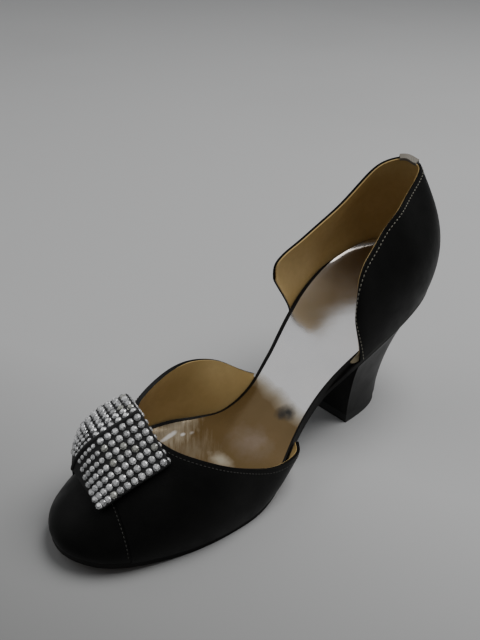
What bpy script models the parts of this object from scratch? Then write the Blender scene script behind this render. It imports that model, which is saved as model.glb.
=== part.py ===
"""Closed-toe, open-sided pump for the left foot, with a block heel and a folded stone-set bow.

The last lies with its toe tip at y = 0 and its heel toward +Y. The wearer's left, the outer side of
the foot, is +X. Sizes are in millimetres here and are turned into metres when a mesh is made.
"""
from collections import namedtuple

import bmesh
import bpy
import numpy as np

MM = 0.001

# Driving dimensions, in millimetres
TOE_Y = -1.0
BOARD_LENGTH = 230.0
GAP = 0.3
WALL = 1.8
CAP_STEP = 0.3
INSOCK_THICK = 0.6
INSOCK_INSET = 0.4
BOARD_THICK = 2.9
OUTSOLE_THICK = 2.6
TREAD_INSET = 0.6
TREAD_NARROWS_Y = 84.0
TREAD_FLUSH_Y = 118.0
SEAT_WIDENS_Y = 140.0
SEAT_FULL_Y = 157.0
TOP_PIECE_HEIGHT = 5.0
TOP_PIECE_INSET = 0.25
HEEL_BREAST_Y = 161.5
HEEL_BASE_LENGTH = 35.0
HEEL_BASE_HALF = 16.5
HEEL_BASE_CENTRE_X = 3.6
HEEL_BASE_SQUARENESS = 0.74
HEEL_TOP_START_Y = 158.0
HEEL_UPRIGHT = 0.42
HEEL_FLARE = 0.36
HEEL_FLARE_DEPTH = 0.12
SQUARE_PULL = 8.0
CAP_SEAM_Y = 22.2
CAP_SEAM_SKEW = 0.25
TAB_THICK = 0.6
TAB_SPAN = (0.475, 0.63)
BOW_THICK = 2.8
BOW_LENGTH = 42.0
BOW_SEAT = 0.5
BOW_SETTLE = 1.5

# Middle of the finished shoe's plan in the coordinates of the last
PLAN_CENTRE = (-0.74, 115.01)

NEAR = 1
FAR = -1

# Insole board outline: distance from the toe tip, half width on the outer and the inner side
Width = namedtuple("Width", "y outer_half inner_half")
OUTLINE = (
    Width(4.0, 14.4, 14.8),
    Width(9.0, 19.5, 20.4),
    Width(16.0, 23.8, 24.8),
    Width(28.0, 28.6, 31.8),
    Width(41.0, 32.5, 37.0),
    Width(54.0, 35.2, 38.6),
    Width(67.0, 36.5, 38.0),
    Width(80.0, 36.3, 34.8),
    Width(92.0, 33.8, 28.9),
    Width(104.0, 29.4, 22.8),
    Width(114.0, 25.2, 18.9),
    Width(124.0, 22.5, 17.0),
    Width(135.0, 21.9, 17.4),
    Width(145.0, 23.0, 19.5),
    Width(157.0, 25.6, 22.6),
    Width(168.0, 27.9, 25.1),
    Width(180.0, 29.2, 26.6),
    Width(192.0, 29.2, 26.8),
    Width(204.0, 27.2, 25.0),
    Width(216.0, 21.3, 20.0),
    Width(224.0, 13.2, 12.5),
)

# Height of the footbed along the last
Level = namedtuple("Level", "y z")
FOOTBED = (
    Level(0.0, 11.8),
    Level(20.0, 9.0),
    Level(40.0, 6.9),
    Level(60.0, 6.2),
    Level(77.0, 6.8),
    Level(98.0, 10.2),
    Level(110.0, 14.6),
    Level(121.0, 21.4),
    Level(133.0, 31.2),
    Level(145.0, 40.6),
    Level(157.0, 49.0),
    Level(168.0, 55.8),
    Level(180.0, 61.8),
    Level(192.0, 66.9),
    Level(204.0, 71.0),
    Level(217.0, 74.0),
    Level(229.0, 75.8),
)

# One rib of the upper a row: where it leaves the sole, where it ends on the topline, how it leans out
# at the sole, the length of its lower handle, its slope at the topline and the upper handle
Rib = namedtuple("Rib", "side sole_y top_x top_y top_z lean rise slope reach")
VAMP_RIBS = (
    Rib(NEAR, 115.5, 27.2, 115.8, 17.3, 14, 0.9, 75, 0.9),
    Rib(NEAR, 110.0, 32.4, 111.3, 18.4, 20, 2.4, 88, 2.0),
    Rib(NEAR, 103.0, 35.8, 105.5, 19.8, 34, 3.8, 82, 3.0),
    Rib(NEAR, 91.0, 37.5, 92.2, 21.9, 36, 6.0, 80, 5.0),
    Rib(NEAR, 76.0, 35.2, 77.0, 27.8, 16, 9.5, 70, 8.0),
    Rib(NEAR, 60.0, 31.5, 63.5, 35.2, 16, 12.0, 56, 11.0),
    Rib(NEAR, 46.0, 25.0, 54.5, 39.8, 16, 13.5, 45, 14.0),
    Rib(NEAR, 31.0, 16.5, 48.8, 42.2, 17, 12.0, 36, 17.0),
    Rib(NEAR, 16.0, 8.0, 46.0, 44.4, 20, 10.8, 33, 20.0),
    Rib(NEAR, 5.0, 1.5, 44.8, 45.8, 22, 9.8, 34, 21.0),
    Rib(FAR, 5.0, -6.0, 45.0, 46.8, 22, 8.8, 39, 21.0),
    Rib(FAR, 16.0, -11.0, 46.8, 47.6, 20, 7.6, 47, 20.0),
    Rib(FAR, 31.0, -15.5, 50.8, 47.2, 15, 9.0, 55, 19.0),
    Rib(FAR, 46.0, -19.8, 57.0, 47.4, 13, 12.0, 61, 17.0),
    Rib(FAR, 60.0, -24.2, 67.0, 47.2, 12, 14.0, 69, 15.0),
    Rib(FAR, 76.0, -28.2, 80.0, 46.7, 10, 14.0, 75, 13.0),
    Rib(FAR, 91.0, -30.4, 93.0, 44.8, 9, 14.0, 82, 12.0),
    Rib(FAR, 104.0, -29.6, 104.5, 41.6, 11, 11.0, 93, 10.0),
    Rib(FAR, 115.0, -26.8, 115.0, 36.4, 15, 7.0, 100, 6.5),
    Rib(FAR, 124.0, -22.5, 124.2, 29.7, 16, 2.6, 102, 2.4),
    Rib(FAR, 129.6, -19.8, 130.4, 26.0, 13, 0.6, 95, 0.6),
)
COUNTER_RIBS = (
    Rib(NEAR, 157.6, 25.2, 152.4, 72.0, 5, 8.0, 84, 8.0),
    Rib(NEAR, 159.0, 24.8, 152.6, 83.0, 6, 13.0, 78, 13.0),
    Rib(NEAR, 161.2, 24.0, 155.2, 93.0, 7, 18.0, 73, 17.0),
    Rib(NEAR, 165.5, 22.7, 161.6, 100.2, 9, 21.0, 69, 20.0),
    Rib(NEAR, 172.0, 21.0, 169.4, 105.2, 11, 23.0, 65, 21.0),
    Rib(NEAR, 180.0, 19.4, 176.6, 109.9, 12, 24.0, 62, 22.0),
    Rib(NEAR, 189.0, 18.6, 185.5, 114.7, 13, 25.0, 62, 23.0),
    Rib(NEAR, 200.0, 14.3, 197.4, 118.0, 14, 26.0, 56, 24.0),
    Rib(NEAR, 214.0, 9.1, 212.8, 123.2, 14, 26.0, 58, 24.0),
    Rib(NEAR, 229.0, 1.6, 219.5, 127.9, 13, 25.0, 66, 23.0),
    Rib(FAR, 214.0, -8.4, 213.5, 127.8, 11, 24.0, 70, 22.0),
    Rib(FAR, 203.0, -14.1, 206.3, 122.7, 10, 22.0, 72, 20.0),
    Rib(FAR, 194.0, -17.1, 198.0, 114.6, 9, 19.0, 73, 17.0),
    Rib(FAR, 185.0, -19.7, 186.6, 105.0, 8, 16.0, 75, 15.0),
    Rib(FAR, 176.0, -22.3, 172.6, 96.5, 7, 14.0, 78, 13.0),
    Rib(FAR, 169.6, -23.9, 159.6, 89.9, 6, 12.0, 80, 11.0),
    Rib(FAR, 165.6, -24.7, 150.6, 85.4, 5, 10.0, 82, 9.0),
    Rib(FAR, 163.6, -24.8, 146.7, 80.4, 4, 7.5, 84, 6.0),
    Rib(FAR, 162.4, -24.6, 146.6, 75.0, 4, 5.5, 88, 3.0),
)

# Lines of the bow on its upper face: where each starts at the rear, a point ahead that it aims at, the
# length that stays straight, the radius of the bend ahead of it, whether the bend goes down, and how far
# the wing between the ridge and this line swells
Line = namedtuple("Line", "rear aim straight radius falls swell")
BOW_RIDGE = Line((-2.2, 43.8, 56.1), (-12.1, 17.6, 42.4), 20.0, 23.0, True, 0.0)
BOW_OUTER_EDGE = Line((20.0, 42.5, 43.0), (10.8, 12.4, 25.0), 19.0, 18.5, False, 1.0)
BOW_INNER_EDGE = Line((-23.5, 52.3, 50.4), (-33.6, 25.0, 41.0), 10.0, 26.0, True, 2.0)

# Base colours
BLACK_LEATHER = (0.012, 0.012, 0.011)
SILVER_LEATHER = (0.72, 0.71, 0.68)
SOLE_LEATHER = (0.05, 0.04, 0.035)
HEEL_COVER = (0.03, 0.03, 0.028)
RUBBER = (0.015, 0.015, 0.015)
PALE_TAPE = (0.6, 0.58, 0.54)
STONES = (0.6, 0.6, 0.6)

# Mesh resolution
VAMP_STEPS = (56, 11)
FINE_VAMP_STEPS = (208, 44)
COUNTER_STEPS = (44, 11)
COUNTER_END_CLOSENESS = 0.6
SOLE_STEPS = 56
HEEL_STEPS = (14, 9)
TAB_STEPS = (120, 60)
TAB_FALLS = (4, 2, 0)
TAB_INNER_FALLS = (0, 2)
BOW_STEPS = (14, 7)
BOW_NOSE_ANGLES = (90, 60, 30)
NEAREST_POINTS = 6


def spline(keys, columns):
    """Natural cubic curve through the rows of a table."""
    keys = np.asarray(keys, float)
    values = np.asarray(columns, float).reshape(len(keys), -1)
    span = np.diff(keys)
    slope = np.diff(values, axis=0) / span[:, None]
    system = np.eye(len(keys))
    bend = np.zeros_like(values)
    for i in range(1, len(keys) - 1):
        system[i, i - 1:i + 2] = span[i - 1], 2 * (span[i - 1] + span[i]), span[i]
        bend[i] = 6 * (slope[i] - slope[i - 1])
    bend = np.linalg.solve(system, bend)

    def at(key):
        key = np.clip(np.asarray(key, float), keys[0], keys[-1])
        i = np.clip(np.searchsorted(keys, key, side="right") - 1, 0, len(keys) - 2)
        h = span[i][..., None]
        after = (key - keys[i])[..., None]
        before = (keys[i + 1] - key)[..., None]
        curve = (bend[i] * before ** 3 + bend[i + 1] * after ** 3) / (6 * h)
        start = values[i] / h - bend[i] * h / 6
        end = values[i + 1] / h - bend[i + 1] * h / 6
        return curve + start * before + end * after

    return at


def station(y):
    """Place along the outline, 0 at the toe tip and 1 at the back of the seat."""
    return np.arccos(np.clip(1 - 2 * (np.asarray(y, float) - TOE_Y) / BOARD_LENGTH, -1, 1)) / np.pi


def station_y(place):
    """Distance from the toe of a place along the outline."""
    return TOE_Y + BOARD_LENGTH * (1 - np.cos(np.pi * place)) / 2


def closed_outline():
    """Half widths joined into one round curve: outer side for 0 to 1, inner side for -1 to 0 and 1 to 2."""
    lap = [(0.0, 0.0), (1.0, 0.0)]
    for y, outer_half, inner_half in OUTLINE:
        lap.append((float(station(y)), outer_half))
        lap.append((2 - float(station(y)), -inner_half))
    laps = sorted((key + 2 * turn, x) for turn in (-1, 0, 1) for key, x in lap)
    return spline([key for key, x in laps], [x for key, x in laps])


OUTLINE_X = closed_outline()
FOOTBED_Z = spline(*zip(*FOOTBED))


def footbed(y):
    return FOOTBED_Z(y)[..., 0]


def plan(place, offset=0.0):
    """Points of the board's outline, moved outward by an offset, and the outward directions."""
    place = np.asarray(place, float)
    step = 1e-4

    def point(p):
        return np.stack([OUTLINE_X(p)[..., 0], station_y(p)], -1)

    along = point(place + step) - point(place - step)
    outward = np.stack([along[..., 1], -along[..., 0]], -1)
    outward /= np.linalg.norm(outward, axis=-1, keepdims=True)
    return point(place) + outward * np.asarray(offset, float)[..., None], outward


def unit(vectors):
    return vectors / np.maximum(np.linalg.norm(vectors, axis=-1, keepdims=True), 1e-9)


def rib_surface(ribs, far_place, sole_drop, places, heights):
    """Outer face of an upper: a grid of ribs, each a cubic from the sole edge to the topline."""
    keys = []
    for rib in ribs:
        place = float(station(rib.sole_y))
        keys.append(place if rib.side == NEAR else far_place(place))
    order = np.argsort(keys)
    rows = np.asarray([ribs[k][Rib._fields.index("top_x"):] for k in order], float)
    top_x, top_y, top_z, lean, rise, slope, reach = spline(np.asarray(keys)[order], rows)(places).T
    top = np.column_stack([top_x, top_y, top_z])
    lean, slope = np.radians(lean), np.radians(slope)
    foot_plan, outward = plan(places, np.full(len(places), GAP + WALL))
    foot = np.column_stack([foot_plan, footbed(foot_plan[:, 1]) - sole_drop])
    run = foot_plan - top[:, :2]
    lead = np.maximum(np.sum(run * outward, axis=1), 0)[:, None]
    away = unit(lead * unit(run) + SQUARE_PULL * outward)
    lower = foot + rise[:, None] * np.column_stack([np.sin(lean)[:, None] * outward, np.cos(lean)])
    upper = top + reach[:, None] * np.column_stack([np.cos(slope)[:, None] * away, -np.sin(slope)])
    t = np.asarray(heights, float)[None, :, None]
    return ((1 - t) ** 3 * foot[:, None] + 3 * t * (1 - t) ** 2 * lower[:, None]
            + 3 * t ** 2 * (1 - t) * upper[:, None] + t ** 3 * top[:, None])


def grid_normals(grid):
    """Directions square to a grid, on the side that its first index times its second points to."""
    along = np.gradient(grid, axis=0)
    up = np.gradient(grid, axis=1)
    return unit(np.cross(along, up))


def vamp_surface(steps):
    first, last = -float(station(VAMP_RIBS[-1].sole_y)), float(station(VAMP_RIBS[0].sole_y))
    places = np.linspace(first, last, steps[0] + 1)
    drop = INSOCK_THICK + BOARD_THICK + GAP
    return rib_surface(VAMP_RIBS, lambda place: -place, drop, places, np.linspace(0, 1, steps[1] + 1))


def counter_surface(steps):
    first, last = float(station(COUNTER_RIBS[0].sole_y)), 2 - float(station(COUNTER_RIBS[-1].sole_y))
    share = np.linspace(0, 1, steps[0] + 1)
    share = share - COUNTER_END_CLOSENESS * np.sin(2 * np.pi * share) / (2 * np.pi)
    places = first + (last - first) * share
    drop = INSOCK_THICK + BOARD_THICK + GAP
    return rib_surface(COUNTER_RIBS, lambda place: 2 - place, drop, places, np.linspace(0, 1, steps[1] + 1))


def inner_face(grid, outward, depth):
    """The wall's inner face, with its foot kept level with the outer one."""
    inner = grid - outward * depth
    level = outward[:, 0, :2]
    inner[:, 0, :2] = grid[:, 0, :2] - unit(level) * depth
    inner[:, 0, 2] = grid[:, 0, 2]
    return inner


def shell(outer, inner):
    """Closed wall between two grids of the same size."""
    rows, cols = outer.shape[:2]
    points = np.concatenate([outer.reshape(-1, 3), inner.reshape(-1, 3)])
    index = np.arange(rows * cols).reshape(rows, cols)
    faces = []
    for i in range(rows - 1):
        for j in range(cols - 1):
            quad = [index[i, j], index[i + 1, j], index[i + 1, j + 1], index[i, j + 1]]
            faces.append(quad)
            faces.append([k + rows * cols for k in reversed(quad)])
    border = [*index[:, 0], *index[-1, 1:], *index[-2::-1, -1], *index[0, -2:0:-1]]
    for a, b in zip(border, border[1:] + border[:1]):
        faces.append([b, a, a + rows * cols, b + rows * cols])
    return points, faces


def slab(offset, top, bottom, first=0.0, last=1.0, steps=SOLE_STEPS):
    """Closed layer that follows the outline between two places, with its ends round or cut square."""
    places = np.linspace(first, last, steps + 1)
    reach = offset(station_y(places))
    outer, _ = plan(places, reach)
    inner, _ = plan(-places, reach)
    rings = []
    for a, b in zip(outer, inner):
        rings.append([(*a, top(a[1])), (*b, top(b[1])), (*b, bottom(b[1])), (*a, bottom(a[1]))])
    return prism(rings)


def prism(rings):
    """Closed solid through rings of equal size, capped at both ends."""
    count = len(rings[0])
    points = [point for ring in rings for point in ring]
    faces = []
    for i in range(len(rings) - 1):
        for j in range(count):
            a, b = i * count + j, i * count + (j + 1) % count
            faces.append([a, b, b + count, a + count])
    faces.append(list(range(count))[::-1])
    faces.append(list(range(len(points) - count, len(points))))
    return np.asarray(points, float), faces


def heel_outline(share):
    """Base outline of the heel: a D with its flat side at the breast, outer and inner edge points."""
    angle = np.pi / 2 * share
    half = HEEL_BASE_HALF * np.cos(angle) ** HEEL_BASE_SQUARENESS
    y = HEEL_BREAST_Y + HEEL_BASE_LENGTH * np.sin(angle) ** HEEL_BASE_SQUARENESS
    outer = np.column_stack([HEEL_BASE_CENTRE_X + half, y])
    inner = np.column_stack([HEEL_BASE_CENTRE_X - half, y])
    return outer, inner


def ladder(levels):
    """Closed solid from levels of paired outer and inner edge points, whose last pair meets."""
    loops = [np.concatenate([outer, inner[-2::-1]]) for outer, inner in levels]
    count = len(loops[0])
    rungs = len(levels[0][0])
    points = np.concatenate(loops)
    faces = []
    for i in range(len(loops) - 1):
        for j in range(count):
            a, b = i * count + j, i * count + (j + 1) % count
            faces.append([a, b, b + count, a + count])
    for base, flip in ((0, True), (len(points) - count, False)):
        for j in range(rungs - 1):
            k = count - 1 - j
            rung = [j, j + 1, k - 1, k] if j < rungs - 2 else [j, j + 1, k]
            rung = [base + m for m in rung]
            faces.append(rung[::-1] if flip else rung)
    return points, faces


def heel_block():
    side_steps, level_steps = HEEL_STEPS
    share = np.linspace(0, 1, side_steps + 1)
    places = float(station(HEEL_TOP_START_Y)) + (1 - float(station(HEEL_TOP_START_Y))) * share
    drop = INSOCK_THICK + BOARD_THICK + OUTSOLE_THICK + 3 * GAP
    tops = [plan(side * places, np.full(side_steps + 1, GAP + WALL - TREAD_INSET))[0] for side in (NEAR, FAR)]
    levels = []
    for t in np.linspace(0, 1, level_steps + 1):
        edges = []
        for base, top in zip(heel_outline(share), tops):
            low = np.column_stack([base, np.full(len(base), TOP_PIECE_HEIGHT + GAP)])
            high = np.column_stack([top, footbed(top[:, 1]) - drop])
            height = (high - low)[:, 2]
            first = low + np.outer(height, (0, 0, HEEL_UPRIGHT))
            last = high.copy()
            last[:, :2] += HEEL_FLARE * (base - top)
            last[:, 2] -= HEEL_FLARE_DEPTH * height
            edges.append((1 - t) ** 3 * low + 3 * t * (1 - t) ** 2 * first
                         + 3 * t ** 2 * (1 - t) * last + t ** 3 * high)
        levels.append(edges)
    return ladder(levels)


def heel_top_piece():
    share = np.linspace(0, 1, HEEL_STEPS[0] + 1)
    middle = np.array([HEEL_BASE_CENTRE_X, HEEL_BREAST_Y + HEEL_BASE_LENGTH / 2])
    levels = []
    for z in (0.0, TOP_PIECE_HEIGHT):
        edges = []
        for edge in heel_outline(share):
            inset = edge - TOP_PIECE_INSET * np.sign(edge - middle)
            edges.append(np.column_stack([inset, np.full(len(edge), z)]))
        levels.append(edges)
    return ladder(levels)


def back_tab():
    """Narrow strip folded over the back of the topline, longer outside than inside."""
    grid = counter_surface(TAB_STEPS)
    outward = grid_normals(grid)
    inner = inner_face(grid, outward, WALL)
    across = slice(*(round(share * TAB_STEPS[0]) for share in TAB_SPAN))
    rim = TAB_STEPS[1]
    faces = []
    for depth in (GAP + TAB_THICK, GAP):
        lift = np.array([0.0, 0.0, depth])
        path = [grid[across, rim - fall] + outward[across, rim - fall] * depth for fall in TAB_FALLS]
        path.append(grid[across, rim] + outward[across, rim] * depth + lift)
        path.append(inner[across, rim] - outward[across, rim] * depth + lift)
        for fall in TAB_INNER_FALLS:
            path.append(inner[across, rim - fall] - outward[across, rim - fall] * depth)
        faces.append(np.stack(path, axis=1))
    return shell(*faces)


def bow_line(line, along, face):
    """Points of a line of the bow, straight from the rear and then bent down toward the toe."""
    rear = np.asarray(line.rear)
    ahead = unit(np.asarray(line.aim) - rear)
    length = (1 - along) * BOW_LENGTH
    turn = np.maximum(length - line.straight, 0) / line.radius
    forward = np.minimum(length, line.straight) + line.radius * np.sin(turn)
    drop = line.falls * line.radius * (1 - np.cos(turn))
    return rear + ahead * forward - face * drop


def bow_face(edge):
    """Direction square to a wing of the bow, on its upper side."""
    rear = np.asarray(BOW_RIDGE.rear)
    face = unit(np.cross(np.asarray(BOW_RIDGE.aim) - rear, np.asarray(edge.rear) - rear))
    return face * np.sign(face[2])


def bow_wing(edge_line, vamp, steps):
    """Bent plate from the ridge of the bow down to the vamp, with a closed front end: both its faces."""
    along = np.linspace(0, 1, steps[0] + 1)[:, None]
    down = np.linspace(0, 1, steps[1] + 1)[None, :, None]
    face = bow_face(edge_line)
    crest = unit(bow_face(BOW_OUTER_EDGE) + bow_face(BOW_INNER_EDGE))
    ridge = bow_line(BOW_RIDGE, along, crest) + (np.sign(face[0]) * GAP / 2, 0, 0)
    edge = bow_line(edge_line, along, face)

    def plate():
        swell = face * edge_line.swell * 4 * down * (1 - down)
        top = ridge[:, None] + down * (edge - ridge)[:, None] + swell
        under = top - face * BOW_THICK
        under[:, 0] = top[:, 0] - (0, 0, BOW_THICK / face[2])
        return top, under

    lift = height_over(vamp, plate()[1]) + BOW_SEAT - plate()[1][..., 2]
    edge[:, 2] += np.maximum(np.max(lift[:, 1:] / down[:, 1:, 0], axis=1), -BOW_SETTLE)
    top, under = plate()
    middle, half = (top[0] + under[0]) / 2, (top[0] - under[0]) / 2
    ahead = unit(top[0] - top[1]) * np.linalg.norm(half, axis=1)[:, None]
    turns = np.radians(BOW_NOSE_ANGLES)[:, None, None]
    over = middle + half * np.cos(turns) + ahead * np.sin(turns)
    below = middle - half * np.cos(turns) + ahead * np.sin(turns)
    return np.concatenate([over, top]), np.concatenate([below, under])


def height_over(grid, spots):
    """Height of a surface grid at some spots, from its nearest points in plan."""
    flat = grid.reshape(-1, 3)
    away = np.sum((spots[..., None, :2] - flat[:, :2]) ** 2, axis=-1)
    near = np.argsort(away, axis=-1)[..., :NEAREST_POINTS]
    weight = 1 / (np.take_along_axis(away, near, axis=-1) + MM)
    return np.sum(weight * flat[near, 2], axis=-1) / np.sum(weight, axis=-1)


def make_object(name, points, faces, colour, roughness, metallic=0.0):
    """Named object with its own material, shaded smooth except at its sharp edges."""
    centred = (np.asarray(points, float) - (*PLAN_CENTRE, 0.0)) * MM
    mesh = bpy.data.meshes.new(name)
    work = bmesh.new()
    corners = [work.verts.new(point) for point in centred]
    for face in faces:
        work.faces.new([corners[k] for k in face])
    bmesh.ops.remove_doubles(work, verts=work.verts, dist=1e-6)
    bmesh.ops.dissolve_degenerate(work, edges=work.edges, dist=1e-7)
    bmesh.ops.triangulate(work, faces=[face for face in work.faces if len(face.verts) > 4])
    bmesh.ops.recalc_face_normals(work, faces=work.faces)
    work.to_mesh(mesh)
    work.free()
    mesh.shade_smooth()
    mesh.set_sharp_from_angle(angle=np.radians(40))
    material = bpy.data.materials.new(name)
    material.use_nodes = True
    shader = material.node_tree.nodes["Principled BSDF"]
    shader.inputs["Base Color"].default_value = (*colour, 1.0)
    shader.inputs["Roughness"].default_value = roughness
    shader.inputs["Metallic"].default_value = metallic
    mesh.materials.append(material)
    thing = bpy.data.objects.new(name, mesh)
    bpy.context.scene.collection.objects.link(thing)
    return thing


def trim_at_seam(thing, y, keep_front):
    """Cut an object across the toe and keep one side of the cut."""
    work = bmesh.new()
    work.from_mesh(thing.data)
    spot = ((0.0 - PLAN_CENTRE[0]) * MM, (y - PLAN_CENTRE[1]) * MM, 0.0)
    cut = bmesh.ops.bisect_plane(
        work, geom=[*work.verts, *work.edges, *work.faces], dist=1e-7, plane_co=spot,
        plane_no=(CAP_SEAM_SKEW, 1.0, 0.0), clear_outer=keep_front, clear_inner=not keep_front)
    rim = [edge for edge in cut["geom_cut"] if isinstance(edge, bmesh.types.BMEdge)]
    bmesh.ops.triangulate(work, faces=bmesh.ops.edgeloop_fill(work, edges=rim)["faces"])
    bmesh.ops.recalc_face_normals(work, faces=work.faces)
    work.to_mesh(thing.data)
    work.free()


def build():
    for thing in list(bpy.data.objects):
        bpy.data.objects.remove(thing, do_unlink=True)
    board_drop = INSOCK_THICK + GAP
    sole_drop = INSOCK_THICK + BOARD_THICK + 2 * GAP

    def sole_reach(y):
        behind_tread = np.clip((y - TREAD_NARROWS_Y) / (TREAD_FLUSH_Y - TREAD_NARROWS_Y), 0, 1)
        ahead_of_seat = np.clip((SEAT_FULL_Y - y) / (SEAT_FULL_Y - SEAT_WIDENS_Y), 0, 1)
        return (GAP + WALL - TREAD_INSET) * (1 - np.minimum(behind_tread, ahead_of_seat) ** 2)

    make_object("insock", *slab(
        lambda y: np.full_like(y, -INSOCK_INSET), footbed, lambda y: footbed(y) - INSOCK_THICK),
        SILVER_LEATHER, 0.2, 1.0)
    make_object("insole", *slab(
        np.zeros_like, lambda y: footbed(y) - board_drop,
        lambda y: footbed(y) - board_drop - BOARD_THICK), BLACK_LEATHER, 0.5)
    make_object("outsole", *slab(
        sole_reach, lambda y: footbed(y) - sole_drop,
        lambda y: np.maximum(0.0, footbed(y) - sole_drop - OUTSOLE_THICK)), SOLE_LEATHER, 0.6)
    make_object("heel_block", *heel_block(), HEEL_COVER, 0.45)
    make_object("heel_top_piece", *heel_top_piece(), RUBBER, 0.7)

    outer = vamp_surface(VAMP_STEPS)
    outward = grid_normals(outer)
    inner = inner_face(outer, outward, WALL)
    vamp = make_object("vamp", *shell(outer, inner), BLACK_LEATHER, 0.45)
    trim_at_seam(vamp, CAP_SEAM_Y + GAP / 2, keep_front=False)
    cap = make_object("toe_cap", *shell(outer - outward * CAP_STEP, inner), BLACK_LEATHER, 0.45)
    trim_at_seam(cap, CAP_SEAM_Y - GAP / 2, keep_front=True)

    outer = counter_surface(COUNTER_STEPS)
    inner = inner_face(outer, grid_normals(outer), WALL)
    make_object("counter", *shell(outer, inner), BLACK_LEATHER, 0.45)
    make_object("back_tab", *back_tab(), PALE_TAPE, 0.6)

    fine_vamp = vamp_surface(FINE_VAMP_STEPS)
    wing = bow_wing(BOW_OUTER_EDGE, fine_vamp, BOW_STEPS)
    make_object("bow_outer_wing", *shell(*wing), STONES, 0.2)
    wing = bow_wing(BOW_INNER_EDGE, fine_vamp, BOW_STEPS)
    make_object("bow_inner_wing", *shell(*wing), STONES, 0.2)


build()
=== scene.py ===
"""Looks of an open-sided pump for the left foot: leathers, lining, stitching and a stone-set bow."""

from collections import namedtuple
from contextlib import contextmanager

import bmesh
import bpy
import numpy as np
from mathutils import Matrix, Vector


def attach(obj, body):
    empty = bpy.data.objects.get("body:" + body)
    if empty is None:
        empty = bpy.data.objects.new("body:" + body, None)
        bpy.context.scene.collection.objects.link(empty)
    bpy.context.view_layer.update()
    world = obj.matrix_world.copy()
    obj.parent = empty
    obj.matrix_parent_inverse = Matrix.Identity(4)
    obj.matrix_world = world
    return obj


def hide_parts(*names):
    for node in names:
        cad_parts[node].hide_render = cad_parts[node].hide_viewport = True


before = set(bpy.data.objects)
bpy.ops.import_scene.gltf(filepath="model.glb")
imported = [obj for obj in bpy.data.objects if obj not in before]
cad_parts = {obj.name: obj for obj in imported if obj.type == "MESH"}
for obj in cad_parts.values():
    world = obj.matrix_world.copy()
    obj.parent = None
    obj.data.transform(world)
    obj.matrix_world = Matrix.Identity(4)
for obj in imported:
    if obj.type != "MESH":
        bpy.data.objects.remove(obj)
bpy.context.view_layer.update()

MM = 0.001


def table(columns, *rows):
    """Rows of numbers with named columns."""
    row_kind = namedtuple("Row", columns)
    return [row_kind(*row) for row in rows]


# Driving dimensions of the last and its layers, in millimetres, as in the solids
TOE_Y = -1.0
BOARD_LENGTH = 230.0
GAP = 0.3
WALL = 1.8
CAP_STEP = 0.3
INSOCK_THICK = 0.6
BOARD_THICK = 2.9
OUTSOLE_THICK = 2.6
TREAD_INSET = 0.6
TREAD_NARROWS_Y = 84.0
TREAD_FLUSH_Y = 118.0
SEAT_WIDENS_Y = 140.0
SEAT_FULL_Y = 157.0
TOP_PIECE_HEIGHT = 5.0
TOP_PIECE_INSET = 0.25
HEEL_BREAST_Y = 161.5
HEEL_BASE_LENGTH = 35.0
HEEL_BASE_HALF = 16.5
HEEL_BASE_CENTRE_X = 3.6
HEEL_BASE_SQUARENESS = 0.74
HEEL_TOP_START_Y = 158.0
HEEL_UPRIGHT = 0.42
HEEL_FLARE = 0.36
HEEL_FLARE_DEPTH = 0.12
SQUARE_PULL = 8.0
CAP_SEAM_Y = 22.2
CAP_SEAM_SKEW = 0.25
TAB_THICK = 0.6
TAB_SPAN = (0.475, 0.63)
BOW_THICK = 2.8
BOW_LENGTH = 42.0
BOW_SEAT = 0.5
BOW_SETTLE = 1.5
PLAN_CENTRE = (-0.74, 115.01)
UPPER_DROP = INSOCK_THICK + BOARD_THICK + GAP
SOLE_DROP = UPPER_DROP + GAP

NEAR = 1
FAR = -1

# Insole board outline: distance from the toe tip, half width on the outer and the inner side
OUTLINE = table(
    "y outer_half inner_half",
    (4, 14.4, 14.8), (9, 19.5, 20.4), (16, 23.8, 24.8), (28, 28.6, 31.8),
    (41, 32.5, 37), (54, 35.2, 38.6), (67, 36.5, 38), (80, 36.3, 34.8),
    (92, 33.8, 28.9), (104, 29.4, 22.8), (114, 25.2, 18.9), (124, 22.5, 17),
    (135, 21.9, 17.4), (145, 23, 19.5), (157, 25.6, 22.6), (168, 27.9, 25.1),
    (180, 29.2, 26.6), (192, 29.2, 26.8), (204, 27.2, 25), (216, 21.3, 20),
    (224, 13.2, 12.5),
)

# Height of the footbed along the last
FOOTBED = table(
    "y z",
    (0, 11.8), (20, 9), (40, 6.9), (60, 6.2), (77, 6.8), (98, 10.2),
    (110, 14.6), (121, 21.4), (133, 31.2), (145, 40.6), (157, 49), (168, 55.8),
    (180, 61.8), (192, 66.9), (204, 71), (217, 74), (229, 75.8),
)

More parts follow.
